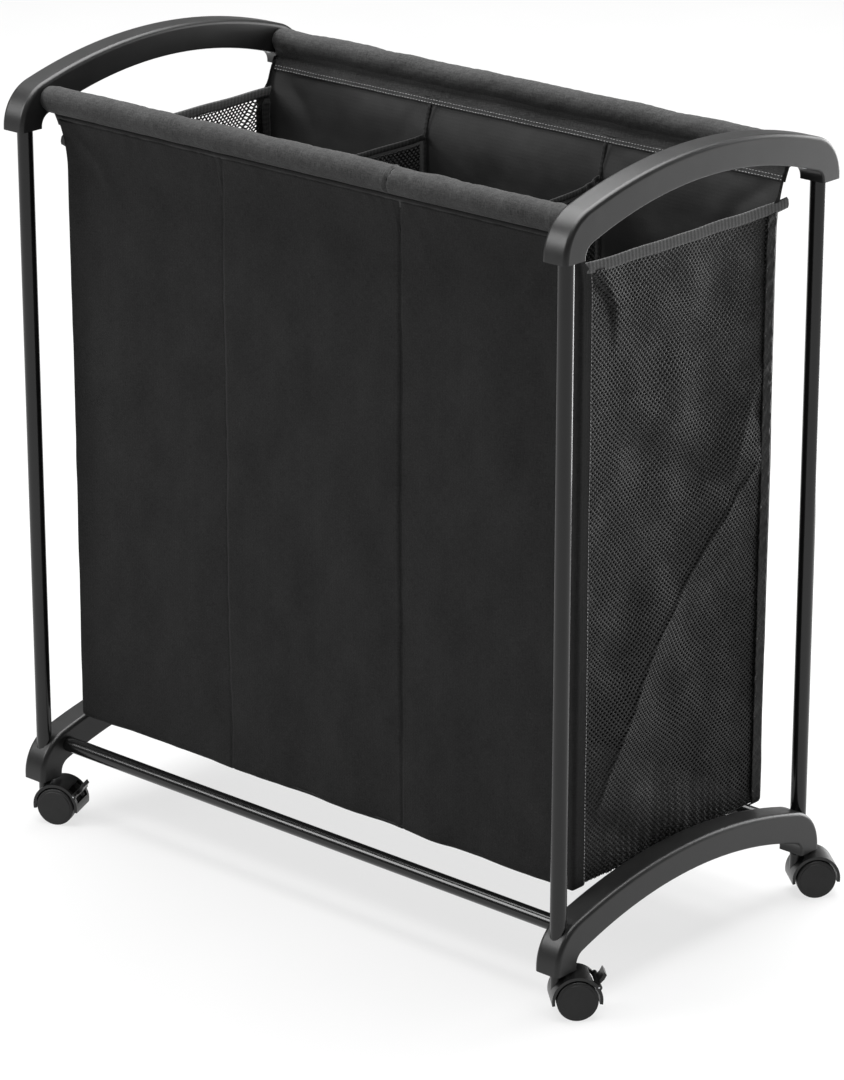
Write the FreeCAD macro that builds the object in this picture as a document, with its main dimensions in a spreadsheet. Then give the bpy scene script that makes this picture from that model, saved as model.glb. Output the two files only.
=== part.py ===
import FreeCAD, Part
import math
import os

import Sketcher
from FreeCAD import Placement, Rotation, Vector

# A three-compartment laundry cart. Two bowed plastic handles and two bowed plastic feet are
# joined by four upright tubes and four long rails. A fabric bag with mesh ends hangs from the
# two top rails, and the feet stand on four swivelling twin-wheel casters, two with brakes.
# Frame: millimetres, +Z up, X along the cart, the front is at -Y, and the origin is on the
# floor under the middle of the cart.

DIMENSIONS = {
    # frame layout
    "arch_centre": 350.0,
    "upright_offset": 186.0,
    "rail_offset": 165.0,
    "tube_radius": 8.0,
    "tube_wall": 1.0,
    "top_rail_radius": 11.0,
    "top_rail_wall": 1.2,
    "bottom_rail_height": 80.0,
    "top_rail_height": 772.0,
    "rail_end": 359.0,
    "upright_bottom": 58.5,
    "upright_top": 764.0,
    "fit_gap": 0.05,
    # bowed handles and feet
    "arch_width": 29.0,
    "arch_half_length": 203.5,
    "arch_outer_radius": 590.0,
    "arch_shoulder_radius": 46.0,
    "arch_inner_radius": 500.0,
    "arch_corner_radius": 13.0,
    "leg_inner": 175.0,
    "crown_thickness": 28.8,
    "handle_bottom": 742.0,
    "handle_height": 71.0,
    "foot_bottom": 47.0,
    "foot_height": 73.5,
    "outer_rounding": 4.5,
    "inner_rounding": 2.0,
    "upright_socket_gap": 0.2,
    "rail_socket_gap": 0.3,
    # rail screws
    "screw_radius": 1.7,
    "screw_reach": 4.0,
    "screw_head_radius": 3.5,
    "screw_head_height": 2.0,
    "screw_head_rounding": 1.2,
    "screw_head_gap": 0.2,
    "recess_length": 3.6,
    "recess_width": 0.9,
    "recess_depth": 1.0,
    "handle_screw_seat": 16.4,
    "foot_screw_seat": 19.0,
    # bag
    "cloth": 1.6,
    "bag_half_length": 334.0,
    "bag_half_depth": 146.0,
    "bag_bottom": 107.0,
    "flare_start": 690.0,
    "flare_top": 741.7,
    "flare_offset": 164.0,
    "mesh_top": 714.7,
    "band_height": 11.0,
    "band_half_length": 160.0,
    "divider_offset": 115.0,
    "divider_top": 706.7,
    "sleeve_inner": 11.3,
    "sleeve_outer": 13.0,
    "sleeve_half_length": 335.0,
    "hem_bottom": 742.0,
    "cloth_gap": 0.3,
    # casters
    "trail": 17.0,
    "wheel_radius": 20.0,
    "wheel_inner_face": 7.4,
    "wheel_outer_face": 19.0,
    "wheel_bore": 2.05,
    "wheel_rounding": 1.6,
    "wheel_rim": 2.6,
    "wheel_disc_step": 0.5,
    "axle_radius": 2.0,
    "axle_half_length": 16.0,
    "axle_chamfer": 0.4,
    "press_gap": 0.02,
    "hood_inner": 21.5,
    "hood_outer": 24.5,
    "hood_width": 34.0,
    "hood_lip_angle": 10.0,
    "web_thickness": 3.2,
    "web_angle": 62.0,
    "overlap": 1.0,
    "hub_radius": 5.5,
    "hub_width": 13.8,
    "boss_radius": 7.0,
    "boss_bottom": 23.0,
    "boss_top": 43.5,
    "stem_radius": 4.0,
    "stem_bottom": 27.0,
    "stem_top": 86.0,
    "stem_tip": 1.5,
    "stem_foot_gap": 0.2,
    "collar_radius": 5.5,
    "collar_height": 1.6,
    "groove_bottom": 70.0,
    "groove_height": 5.0,
    "groove_radius": 3.2,
    "ring_radius": 5.0,
    "ring_gap": 0.3,
    "ring_split": 1.2,
    "plug_top": 92.0,
    "plug_neck_top": 66.0,
    # brake levers of the two front casters
    "pivot_radius": 24.2,
    "pivot_angle": 33.0,
    "pivot_boss": 3.0,
    "lever_hub": 2.6,
    "lever_cam": 1.3,
    "lever_cam_angle": 253.0,
    "lever_width": 25.2,
    "tab_width": 16.0,
    "tab_length": 12.0,
    "tab_thickness": 3.2,
    "tab_angle": 46.0,
    "tab_flick": 1.4,
    "tab_lip": 0.8,
    "slot_width": 26.0,
    "slot_from": 12.0,
    "slot_to": 56.0,
    "pin_radius": 0.93,
    "pin_inset": 0.4,
}

# The trailing direction of each caster at rest, in degrees from +X.
CASTERS = {
    "front_left": {"side": (-1, -1), "azimuth": 24.0, "brake": True},
    "front_right": {"side": (1, -1), "azimuth": 48.0, "brake": True},
    "rear_left": {"side": (-1, 1), "azimuth": 228.0, "brake": False},
    "rear_right": {"side": (1, 1), "azimuth": 50.0, "brake": False},
}

doc = FreeCAD.newDocument("laundry_cart")
sheet = doc.addObject("Spreadsheet::Sheet", "dims")
for row, (alias, value) in enumerate(DIMENSIONS.items(), start=1):
    sheet.set(f"A{row}", alias)
    sheet.set(f"B{row}", str(value))
    sheet.setAlias(f"B{row}", alias)
doc.recompute()

pieces = []
TINY = 1e-6


def size(alias):
    """The value of one cell of the sheet."""
    return float(sheet.get(alias))


def new_body(label):
    """An empty body that becomes one kept piece."""
    body = doc.addObject("PartDesign::Body", label)
    body.Label = label
    pieces.append(body)
    return body


def new_sketch(body, plane, name, offset=0.0, offset_cells=None):
    """A sketch on one of the body's own origin planes, moved along its normal."""
    sketch = body.newObject("Sketcher::SketchObject", f"{body.Name}_{name}")
    origin_plane = next(f for f in body.Origin.OriginFeatures if f.Role == plane)
    sketch.AttachmentSupport = [(origin_plane, "")]
    sketch.MapMode = "FlatFace"
    sketch.AttachmentOffset = Placement(Vector(0, 0, offset), Rotation())
    if offset_cells:
        sketch.setExpression("AttachmentOffset.Base.z", offset_cells)
    return sketch


def circle(sketch, centre, radius_cells, radius):
    """A circle whose radius follows an expression on the sheet."""
    index = sketch.addGeometry(Part.Circle(Vector(*centre, 0), Vector(0, 0, 1), radius), False)
    constraint = sketch.addConstraint(Sketcher.Constraint("Radius", index, radius))
    sketch.setExpression(f"Constraints[{constraint}]", radius_cells)
    return index


def meeting_ends(edge, following):
    """Which end of an edge meets which end of the next one: 1 is a start and 2 an end."""
    for finish, here in ((2, edge.EndPoint), (1, edge.StartPoint)):
        for start, there in ((1, following.StartPoint), (2, following.EndPoint)):
            if here.distanceToPoint(there) < 1e-5:
                return finish, start
    raise ValueError("the outline has a gap")


def outline(sketch, edges):
    """A closed loop of lines and arcs, each joined to the next where they meet."""
    indices = [sketch.addGeometry(edge, False) for edge in edges]
    for here, edge in enumerate(edges):
        after = (here + 1) % len(edges)
        finish, start = meeting_ends(edge, edges[after])
        joint = Sketcher.Constraint("Coincident", indices[here], finish, indices[after], start)
        sketch.addConstraint(joint)


def pad(body, sketch, length_cells, midplane=True, backwards=False):
    feature = body.newObject("PartDesign::Pad", f"{sketch.Name}_pad")
    feature.Profile = sketch
    feature.SideType = "Symmetric" if midplane else "One side"
    feature.Reversed = backwards
    feature.setExpression("Length", length_cells)
    return feature


def pocket(body, sketch, length_cells, midplane=False, backwards=False):
    feature = body.newObject("PartDesign::Pocket", f"{sketch.Name}_cut")
    feature.Profile = sketch
    feature.SideType = "Symmetric" if midplane else "One side"
    feature.Reversed = backwards
    feature.setExpression("Length", length_cells)
    return feature


def arc_about(centre, radius, start, end):
    """The arc of a circle in the sketch's plane between two angles in degrees."""
    ring = Part.Circle(Vector(*centre, 0), Vector(0, 0, 1), radius)
    return Part.ArcOfCircle(ring, math.radians(start), math.radians(end))


def on_circle(centre, radius, angle):
    turn = math.radians(angle)
    return Vector(centre[0] + radius * math.cos(turn), centre[1] + radius * math.sin(turn), 0)


def line(a, b):
    return Part.LineSegment(Vector(a[0], a[1], 0), Vector(b[0], b[1], 0))


def sector(centre, inner, outer, start, end):
    """The closed outline of a ring cut between two angles."""
    return [
        arc_about(centre, outer, start, end),
        line(on_circle(centre, outer, end), on_circle(centre, inner, end)),
        arc_about(centre, inner, start, end),
        line(on_circle(centre, inner, start), on_circle(centre, outer, start)),
    ]


# ---------------------------------------------------------------- bowed handles and feet


def arch_outline(height):
    """Outline of a bowed arch in its own plane, with its leg ends at zero."""
    half, leg = size("arch_half_length"), size("leg_inner")
    big, shoulder = size("arch_outer_radius"), size("arch_shoulder_radius")
    under, corner = size("arch_inner_radius"), size("arch_corner_radius")
    outer_centre = height - big
    lean = math.asin((half - shoulder) / (big - shoulder))
    shoulder_z = outer_centre + (big - shoulder) * math.cos(lean)
    under_centre = height - size("crown_thickness") - under
    tilt = math.asin((leg - corner) / (under - corner))
    corner_z = under_centre + (under - corner) * math.cos(tilt)
    lean_deg, tilt_deg = math.degrees(lean), math.degrees(tilt)
    return [
        arc_about((0, outer_centre), big, 90 - lean_deg, 90 + lean_deg),
        arc_about((shoulder - half, shoulder_z), shoulder, 90 + lean_deg, 180),
        line((-half, shoulder_z), (-half, 0)),
        line((-half, 0), (-leg, 0)),
        line((-leg, 0), (-leg, corner_z)),
        arc_about((corner - leg, corner_z), corner, 90 + tilt_deg, 180),
        arc_about((0, under_centre), under, 90 - tilt_deg, 90 + tilt_deg),
        arc_about((leg - corner, corner_z), corner, 0, 90 - tilt_deg),
        line((leg, corner_z), (leg, 0)),
        line((leg, 0), (half, 0)),
        line((half, 0), (half, shoulder_z)),
        arc_about((half - shoulder, shoulder_z), shoulder, 0, 90 - lean_deg),
    ]


def rim_edges(feature, outside):
    """Names of the arch's long side edges: those of its outer bow, or those of its underside."""
    limit = size("leg_inner") + 1.0
    names = []
    for number, edge in enumerate(feature.Shape.Edges, start=1):
        box = edge.BoundBox
        on_side = box.XLength < TINY and abs(abs(box.XMin) - size("arch_width") / 2) < TINY
        level = box.ZLength < TINY
        reaches_out = max(abs(box.YMin), abs(box.YMax)) > limit
        if on_side and not level and reaches_out == outside:
            names.append(f"Edge{number}")
    return names


def bowed_arch(label, height, bore_from, bore_depth, rail_radius, rail_above, screw_seat):
    """An arch with leg sockets for the uprights, rail sockets in its -X face and screw holes."""
    body = new_body(label)
    profile = new_sketch(body, "YZ_Plane", "profile")
    outline(profile, arch_outline(height))
    pad(body, profile, "dims.arch_width")
    doc.recompute()
    for name, outside, radius in (("outer", True, "outer_rounding"), ("inner", False, "inner_rounding")):
        base = body.Tip
        fillet = body.newObject("PartDesign::Fillet", f"{label}_{name}_rounding")
        fillet.Base = (base, rim_edges(base, outside))
        fillet.setExpression("Radius", f"dims.{radius}")
        doc.recompute()
    legs = new_sketch(body, "XY_Plane", "leg_sockets", bore_from)
    rails = new_sketch(body, "YZ_Plane", "rail_sockets", -size("arch_width") / 2, "-dims.arch_width / 2")
    shanks = new_sketch(body, "XY_Plane", "screw_shanks")
    heads = new_sketch(body, "XY_Plane", "screw_heads")
    for side in (-1, 1):
        upright, rail = side * size("upright_offset"), side * size("rail_offset")
        circle(legs, (0, upright), "dims.tube_radius + dims.fit_gap", size("tube_radius"))
        circle(rails, (rail, rail_above), f"dims.{rail_radius} + dims.fit_gap", size(rail_radius))
        circle(shanks, (0, rail), "dims.screw_radius + dims.fit_gap", size("screw_radius"))
        circle(heads, (0, rail), "dims.screw_head_radius + dims.screw_head_gap",
               size("screw_head_radius"))
    pocket(body, legs, bore_depth, backwards=True)
    pocket(body, rails, RAIL_SOCKET_DEPTH, backwards=True)
    pocket(body, shanks, f"{rail_above} mm", backwards=True)
    pocket(body, heads, f"dims.{screw_seat}", backwards=True)
    doc.recompute()
    return body


def place_arch(body, side, bottom):
    """Right-hand arches keep their sockets towards the cart; left-hand ones are turned round."""
    turn = Rotation(Vector(0, 0, 1), 0 if side > 0 else 180)
    body.Placement = Placement(Vector(side * size("arch_centre"), 0, bottom), turn)


LEG_SOCKET_TOP = "dims.upright_top - dims.handle_bottom + dims.upright_socket_gap"
RAIL_SOCKET_DEPTH = "dims.rail_end - dims.arch_centre + dims.arch_width / 2 + dims.rail_socket_gap"

for side, hand in ((-1, "left"), (1, "right")):
    handle = bowed_arch(
        f"handle_{hand}", size("handle_height"), 0.0, LEG_SOCKET_TOP, "top_rail_radius",
        size("top_rail_height") - size("handle_bottom"), "handle_screw_seat",
    )
    place_arch(handle, side, size("handle_bottom"))

    foot = bowed_arch(
        f"foot_{hand}", size("foot_height"), size("upright_bottom") - size("foot_bottom"),
        "dims.foot_height", "tube_radius",
        size("bottom_rail_height") - size("foot_bottom"), "foot_screw_seat",
    )
    stem_holes = new_sketch(foot, "XY_Plane", "stem_holes")
    for end in (-1, 1):
        circle(stem_holes, (0, end * size("upright_offset")), "dims.stem_radius + dims.fit_gap",
               size("stem_radius"))
    pocket(foot, stem_holes, "dims.upright_bottom - dims.foot_bottom + dims.overlap", backwards=True)
    place_arch(foot, side, size("foot_bottom"))


# ---------------------------------------------------------------- tubes and screws


def tube(label, plane, radius, wall):
    body = new_body(label)
    ring = new_sketch(body, plane, "ring")
    circle(ring, (0, 0), f"dims.{radius}", size(radius))
    circle(ring, (0, 0), f"dims.{radius} - dims.{wall}", size(radius) - size(wall))
    return body, ring


for end, row in ((-1, "front"), (1, "rear")):
    for side, hand in ((-1, "left"), (1, "right")):
        upright, ring = tube(f"upright_{row}_{hand}", "XY_Plane", "tube_radius", "tube_wall")
        pad(upright, ring, "dims.upright_top - dims.upright_bottom", midplane=False)
        upright.Placement = Placement(
            Vector(side * size("arch_centre"), end * size("upright_offset"), size("upright_bottom")),
            Rotation(),
        )
    for level, radius, wall in (
        ("top", "top_rail_radius", "top_rail_wall"),
        ("bottom", "tube_radius", "tube_wall"),
    ):
        rail, ring = tube(f"{level}_rail_{row}", "YZ_Plane", radius, wall)
        pad(rail, ring, "2 * dims.rail_end")
        pilots = new_sketch(rail, "XY_Plane", "screw_pilots")
        for side in (-1, 1):
            circle(pilots, (side * size("arch_centre"), 0), "dims.screw_radius + dims.fit_gap",
                   size("screw_radius"))
        pocket(rail, pilots, f"dims.{radius} + dims.overlap")
        rail.Placement = Placement(
            Vector(0, end * size("rail_offset"), size(f"{level}_rail_height")), Rotation()
        )


def recess_bar(foot_of_head, length, depth):
    """One bar of the cross recess in a screw's head."""
    corner = foot_of_head - Vector(length / 2, depth / 2, 0)
    return Part.makeBox(length, depth, size("recess_depth"), corner)


def screw_group(label, bottom, seat, tip):
    """Four identical screws, driven upwards through an arch's underside into the rails."""
    group = doc.addObject("Part::Feature", label)
    group.Label = label
    solids = []
    for side in (-1, 1):
        for end in (-1, 1):
            foot_of_head = Vector(side * size("arch_centre"), end * size("rail_offset"),
                                  bottom + seat - size("screw_head_height"))
            head = Part.makeCylinder(size("screw_head_radius"), size("screw_head_height"), foot_of_head)
            rims = [e for e in head.Edges if e.BoundBox.ZMax < foot_of_head.z + TINY]
            head = head.makeFillet(size("screw_head_rounding"), rims)
            recess = recess_bar(foot_of_head, size("recess_length"), size("recess_width"))
            recess = recess.fuse(recess_bar(foot_of_head, size("recess_width"), size("recess_length")))
            shank_from = foot_of_head + Vector(0, 0, size("screw_head_height"))
            shank = Part.makeCylinder(size("screw_radius"), tip - shank_from.z, shank_from)
            solids.append(head.cut(recess).fuse(shank).removeSplitter())
    group.Shape = Part.makeCompound(solids)
    pieces.append(group)


screw_group("handle_screws", size("handle_bottom"), size("handle_screw_seat"),
            size("top_rail_height") - size("top_rail_radius") + size("screw_reach"))
screw_group("foot_screws", size("foot_bottom"), size("foot_screw_seat"),
            size("bottom_rail_height") - size("tube_radius") + size("screw_reach"))


# ---------------------------------------------------------------- bag


def cloth_box(label, length, depth, height, corner):
    """A flat piece of cloth as a box, each size and place an expression on the sheet."""
    box = doc.addObject("Part::Box", label)
    box.Label = label
    for name, cells in (("Length", length), ("Width", depth), ("Height", height)):
        box.setExpression(name, cells)
    for axis, cells in zip("xyz", corner):
        box.setExpression(f"Placement.Base.{axis}", cells)
    pieces.append(box)
    return box


cloth_box(
    "bag_bottom", "2 * dims.bag_half_length", "2 * dims.bag_half_depth", "dims.cloth",
    ("-dims.bag_half_length", "-dims.bag_half_depth", "dims.bag_bottom"),
)
PANEL_FOOT = "dims.bag_bottom + dims.cloth + dims.cloth_gap"

for side, hand in ((-1, "left"), (1, "right")):
    outer = "-dims.bag_half_length" if side < 0 else "dims.bag_half_length - dims.cloth"
    cloth_box(
        f"bag_mesh_{hand}", "dims.cloth", "2 * dims.bag_half_depth",
        f"dims.mesh_top - ({PANEL_FOOT})", (outer, "-dims.bag_half_depth", PANEL_FOOT),
    )
    cloth_box(
        f"mesh_band_{hand}", "dims.cloth", "2 * dims.band_half_length", "dims.band_height",
        (outer, "-dims.band_half_length", "dims.mesh_top + dims.cloth_gap"),
    )
    middle = f"{side} * dims.divider_offset - dims.cloth / 2"
    inside = "dims.bag_half_depth - dims.cloth - dims.cloth_gap"
    cloth_box(
        f"bag_divider_{hand}", "dims.cloth", f"2 * ({inside})",
        f"dims.divider_top - ({PANEL_FOOT})", (middle, f"-({inside})", PANEL_FOOT),
    )
    cloth_box(
        f"divider_band_{hand}", "dims.cloth", f"2 * ({inside})", "dims.band_height",
        (middle, f"-({inside})", "dims.divider_top + dims.cloth_gap"),
    )


def panel_outline():
    """Section of the rear panel: straight up, then flaring out towards the rail it hangs from."""
    face, thick = size("bag_half_depth"), size("cloth")
    foot = size("bag_bottom") + thick + size("cloth_gap")
    bend, top = size("flare_start"), size("flare_top")
    run, rise = size("flare_offset") - face, top - bend
    radius = (run * run + rise * rise) / (2 * run)
    sweep = math.degrees(math.asin(rise / radius))
    centre = (face + radius, bend)
    inner = radius + thick
    return [
        line((face - thick, foot), (face, foot)),
        line((face, foot), (face, bend)),
        arc_about(centre, radius, 180 - sweep, 180),
        line(on_circle(centre, radius, 180 - sweep), on_circle(centre, inner, 180 - sweep)),
        arc_about(centre, inner, 180 - sweep, 180),
        line((face - thick, bend), (face - thick, foot)),
    ]


def sleeve_outline():
    """Section of a sleeve: a ring round the rail with its two layers meeting in a hem below."""
    outer, half = size("sleeve_outer"), size("cloth") / 2
    drop = size("top_rail_height") - size("hem_bottom")
    spread = math.degrees(math.asin(half / outer))
    left, right = on_circle((0, 0), outer, 270 - spread), on_circle((0, 0), outer, 270 + spread)
    return [
        arc_about((0, 0), outer, 270 + spread, 630 - spread),
        line(left, (-half, -drop)),
        line((-half, -drop), (half, -drop)),
        line((half, -drop), right),
    ]


for end, row in ((-1, "front"), (1, "rear")):
    turn = Rotation(Vector(0, 0, 1), 0 if end > 0 else 180)
    panel = new_body(f"bag_panel_{row}")
    section = new_sketch(panel, "YZ_Plane", "section")
    outline(section, panel_outline())
    pad(panel, section, "2 * (dims.bag_half_length - dims.cloth - dims.cloth_gap)")
    panel.Placement = Placement(Vector(0, 0, 0), turn)

    sleeve = new_body(f"bag_sleeve_{row}")
    section = new_sketch(sleeve, "YZ_Plane", "section")
    outline(section, sleeve_outline())
    circle(section, (0, 0), "dims.sleeve_inner", size("sleeve_inner"))
    pad(sleeve, section, "2 * dims.sleeve_half_length")
    sleeve.Placement = Placement(
        Vector(0, end * size("rail_offset"), size("top_rail_height")), Rotation()
    )


# ---------------------------------------------------------------- casters
# Each caster is drawn with its stem on the Z axis and its axle behind it, along +X.


def turned(label, points):
    """A body of revolution about its own Z axis from an outline of radius and height."""
    body = new_body(label)
    profile = new_sketch(body, "XZ_Plane", "profile")
    outline(profile, [line(a, b) for a, b in zip(points, points[1:] + points[:1])])
    spin = body.newObject("PartDesign::Revolution", f"{label}_turned")
    spin.Profile = profile
    spin.ReferenceAxis = (profile, ["V_Axis"])
    spin.Angle = 360
    return body, spin


def caster_stem(label):
    """A steel stem with a collar under the foot and a groove for its grip ring."""
    r, collar, groove = size("stem_radius"), size("collar_radius"), size("groove_radius")
    collar_top = size("foot_bottom") - size("fit_gap")
    collar_foot = collar_top - size("collar_height")
    groove_low = size("groove_bottom")
    groove_high = groove_low + size("groove_height")
    low, top, tip = size("stem_bottom") + size("stem_foot_gap"), size("stem_top"), size("stem_tip")
    body, _ = turned(label, [
        (0, low), (r, low),
        (r, collar_foot), (collar, collar_foot), (collar, collar_top), (r, collar_top),
        (r, groove_low), (groove, groove_low), (groove, groove_high), (r, groove_high),
        (r, top - tip), (r - tip, top), (0, top),
    ])
    return body


def caster_plug(label):
    """A nylon plug in the foot of an upright, with a neck for the stem and room for its ring."""
    gap = size("fit_gap")
    outside = size("tube_radius") - size("tube_wall") - gap
    bore, room = size("stem_radius") + gap, size("ring_radius") + gap
    low, neck, top = size("upright_bottom"), size("plug_neck_top"), size("plug_top")
    body, _ = turned(label, [
        (bore, low), (outside, low), (outside, top), (room, top), (room, neck), (bore, neck),
    ])
    return body


def caster_wheel(label):
    """One of a pair of wheels: a rounded tread, a raised disc on its face and a blind bore."""
    low, high = size("wheel_inner_face"), size("wheel_outer_face")
    radius, bore, step = size("wheel_radius"), size("wheel_bore"), size("wheel_disc_step")
    rim = radius - size("wheel_rim")
    bore_end = size("axle_half_length") + step
    body, spin = turned(label, [
        (bore, low), (radius, low), (radius, high - step), (rim, high - step), (rim - step, high),
        (0, high), (0, bore_end), (bore, bore_end),
    ])
    doc.recompute()
    corners = [
        f"Edge{number}" for number, edge in enumerate(spin.Shape.Edges, start=1)
        if edge.BoundBox.ZLength < TINY and abs(edge.BoundBox.XMax - radius) < TINY
    ]
    fillet = body.newObject("PartDesign::Fillet", f"{label}_rounding")
    fillet.Base = (spin, corners)
    fillet.setExpression("Radius", "dims.wheel_rounding")
    return body


def caster_axle(label):
    """A plain steel pin along its own Z axis."""
    half, chamfer = size("axle_half_length"), size("axle_chamfer")
    radius = size("axle_radius")
    body, _ = turned(label, [
        (0, -half), (radius - chamfer, -half), (radius, chamfer - half), (radius, half - chamfer),
        (radius - chamfer, half), (0, half),
    ])
    return body


def caster_hood(label, brake):
    """The hood over a wheel pair: fender, centre web, axle hub and the boss round the stem."""
    body = new_body(label)
    axle = (size("trail"), size("wheel_radius"))
    lip = size("hood_lip_angle")
    fender = new_sketch(body, "XZ_Plane", "fender")
    outline(fender, sector(axle, size("hood_inner"), size("hood_outer"), -lip, 180 + lip))
    pad(body, fender, "dims.hood_width")
    web = new_sketch(body, "XZ_Plane", "web")
    overlap = size("overlap")
    outline(web, sector(axle, size("hub_radius") - overlap, size("hood_inner") + overlap,
                        size("web_angle"), 180 + lip))
    pad(body, web, "dims.web_thickness")
    hub = new_sketch(body, "XZ_Plane", "hub")
    circle(hub, axle, "dims.hub_radius", size("hub_radius"))
    pad(body, hub, "dims.hub_width")
    boss = new_sketch(body, "XY_Plane", "boss", size("boss_bottom"), "dims.boss_bottom")
    circle(boss, (0, 0), "dims.boss_radius", size("boss_radius"))
    pad(body, boss, "dims.boss_top - dims.boss_bottom", midplane=False)
    if brake:
        pivot = on_circle(axle, size("pivot_radius"), size("pivot_angle"))
        cheeks = new_sketch(body, "XZ_Plane", "lever_cheeks")
        circle(cheeks, (pivot.x, pivot.y), "dims.pivot_boss", size("pivot_boss"))
        pad(body, cheeks, "dims.hood_width")
        slot = new_sketch(body, "XZ_Plane", "lever_slot")
        outline(slot, sector(axle, size("hood_inner") - overlap, size("hood_outer") + size("pivot_boss"),
                             size("slot_from"), size("slot_to")))
        pocket(body, slot, "dims.slot_width", midplane=True)
        pin = new_sketch(body, "XZ_Plane", "lever_pin_hole")
        circle(pin, (pivot.x, pivot.y), "dims.pin_radius + dims.press_gap", size("pin_radius"))
        pocket(body, pin, "2 * dims.hood_width", midplane=True)
    bore = new_sketch(body, "XY_Plane", "stem_bore", size("stem_bottom"), "dims.stem_bottom")
    circle(bore, (0, 0), "dims.stem_radius + dims.fit_gap", size("stem_radius"))
    pocket(body, bore, "dims.boss_top", backwards=True)
    axle_hole = new_sketch(body, "XZ_Plane", "axle_hole")
    circle(axle_hole, axle, "dims.axle_radius + dims.press_gap", size("axle_radius"))
    pocket(body, axle_hole, "2 * dims.hood_width", midplane=True)
    return body


def brake_lever(label):
    """A foot tab on a cross hub, with a cam that reaches the treads when the tab is pressed."""
    body = new_body(label)
    axle = (size("trail"), size("wheel_radius"))
    pivot = on_circle(axle, size("pivot_radius"), size("pivot_angle"))
    hub = new_sketch(body, "XZ_Plane", "hub")
    circle(hub, (pivot.x, pivot.y), "dims.lever_hub", size("lever_hub"))
    pad(body, hub, "dims.lever_width")
    cam = new_sketch(body, "XZ_Plane", "cam")
    cam_at = on_circle((pivot.x, pivot.y), size("lever_hub"), size("lever_cam_angle"))
    circle(cam, (cam_at.x, cam_at.y), "dims.lever_cam", size("lever_cam"))
    pad(body, cam, "dims.lever_width")
    tab = new_sketch(body, "XZ_Plane", "tab")
    along = Rotation(Vector(0, 0, 1), size("tab_angle"))
    half, reach = size("tab_thickness") / 2, size("tab_length")
    flick, lip = size("tab_flick"), size("tab_lip")
    corners = [(0, -half), (0.6 * reach, -half), (reach, flick - half),
               (reach + lip, half + flick + lip), (0.6 * reach, half + lip / 2), (0, half)]
    points = [along.multVec(Vector(x, z, 0)) + pivot for x, z in corners]
    outline(tab, [line(a, b) for a, b in zip(points, points[1:] + points[:1])])
    pad(body, tab, "dims.tab_width")
    hole = new_sketch(body, "XZ_Plane", "pin_hole")
    circle(hole, (pivot.x, pivot.y), "dims.pin_radius + dims.fit_gap", size("pin_radius"))
    pocket(body, hole, "2 * dims.lever_width", midplane=True)
    return body


def lever_pin(label):
    """A plain pin that a brake lever turns on, along its own Z axis."""
    half, radius = size("hood_width") / 2 - size("pin_inset"), size("pin_radius")
    body, _ = turned(label, [(0, -half), (radius, -half), (radius, half), (0, half)])
    return body


def across(place, x, z, flip=False):
    """A placement that turns a body's Z axis along the caster's axle, at x and z."""
    turn = Rotation(Vector(1, 0, 0), 90 if flip else -90)
    return place.multiply(Placement(Vector(x, 0, z), turn))


ring_places = []
for name, caster in CASTERS.items():
    side, end = caster["side"]
    stem_at = Vector(side * size("arch_centre"), end * size("upright_offset"), 0)
    place = Placement(stem_at, Rotation(Vector(0, 0, 1), caster["azimuth"]))
    ring_places.append(stem_at)
    caster_stem(f"caster_stem_{name}").Placement = Placement(stem_at, Rotation())
    caster_plug(f"caster_plug_{name}").Placement = Placement(stem_at, Rotation())
    caster_hood(f"caster_hood_{name}", caster["brake"]).Placement = place
    axle_x, axle_z = size("trail"), size("wheel_radius")
    caster_axle(f"caster_axle_{name}").Placement = across(place, axle_x, axle_z)
    caster_wheel(f"wheel_a_{name}").Placement = across(place, axle_x, axle_z)
    caster_wheel(f"wheel_b_{name}").Placement = across(place, axle_x, axle_z, flip=True)
    if caster["brake"]:
        brake_lever(f"brake_lever_{name}").Placement = place
        pivot = on_circle((axle_x, axle_z), size("pivot_radius"), size("pivot_angle"))
        lever_pin(f"lever_pin_{name}").Placement = across(place, pivot.x, pivot.y)

# The four grip rings: split steel rings that hold the stems in their plugs.
rings = doc.addObject("Part::Feature", "stem_grip_rings")
rings.Label = "stem_grip_rings"
split_rings = []
for stem_at in ring_places:
    base = stem_at + Vector(0, 0, size("groove_bottom") + size("ring_gap"))
    tall = size("groove_height") - 2 * size("ring_gap")
    ring = Part.makeCylinder(size("ring_radius"), tall, base)
    ring = ring.cut(Part.makeCylinder(size("groove_radius") + size("fit_gap"), tall, base))
    split = Part.makeBox(size("ring_radius") + size("overlap"), size("ring_split"), tall,
                         base - Vector(0, size("ring_split") / 2, 0))
    split_rings.append(ring.cut(split))
rings.Shape = Part.makeCompound(split_rings)
pieces.append(rings)

doc.recompute()

# ---------------------------------------------------------------- check and write

failed = [o.Name for o in doc.Objects if {"Invalid", "Error"} & set(o.State)]
if failed:
    raise RuntimeError(f"failed objects: {failed}")
for piece in pieces:
    shape = piece.Shape
    if shape.isNull() or not shape.isValid() or not shape.Solids:
        raise RuntimeError(f"{piece.Label} has no valid solid")

os.makedirs("parts", exist_ok=True)
for piece in pieces:
    piece.Shape.exportStep(os.path.join("parts", f"{piece.Label}.step"))
    box = piece.Shape.BoundBox
    print(f"{piece.Label:28s} solids {len(piece.Shape.Solids)} volume {piece.Shape.Volume:11.1f} "
          f"x {box.XMin:8.2f} {box.XMax:8.2f} y {box.YMin:8.2f} {box.YMax:8.2f} "
          f"z {box.ZMin:7.2f} {box.ZMax:7.2f}")
print(f"{len(pieces)} pieces")
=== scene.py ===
import math

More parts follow.
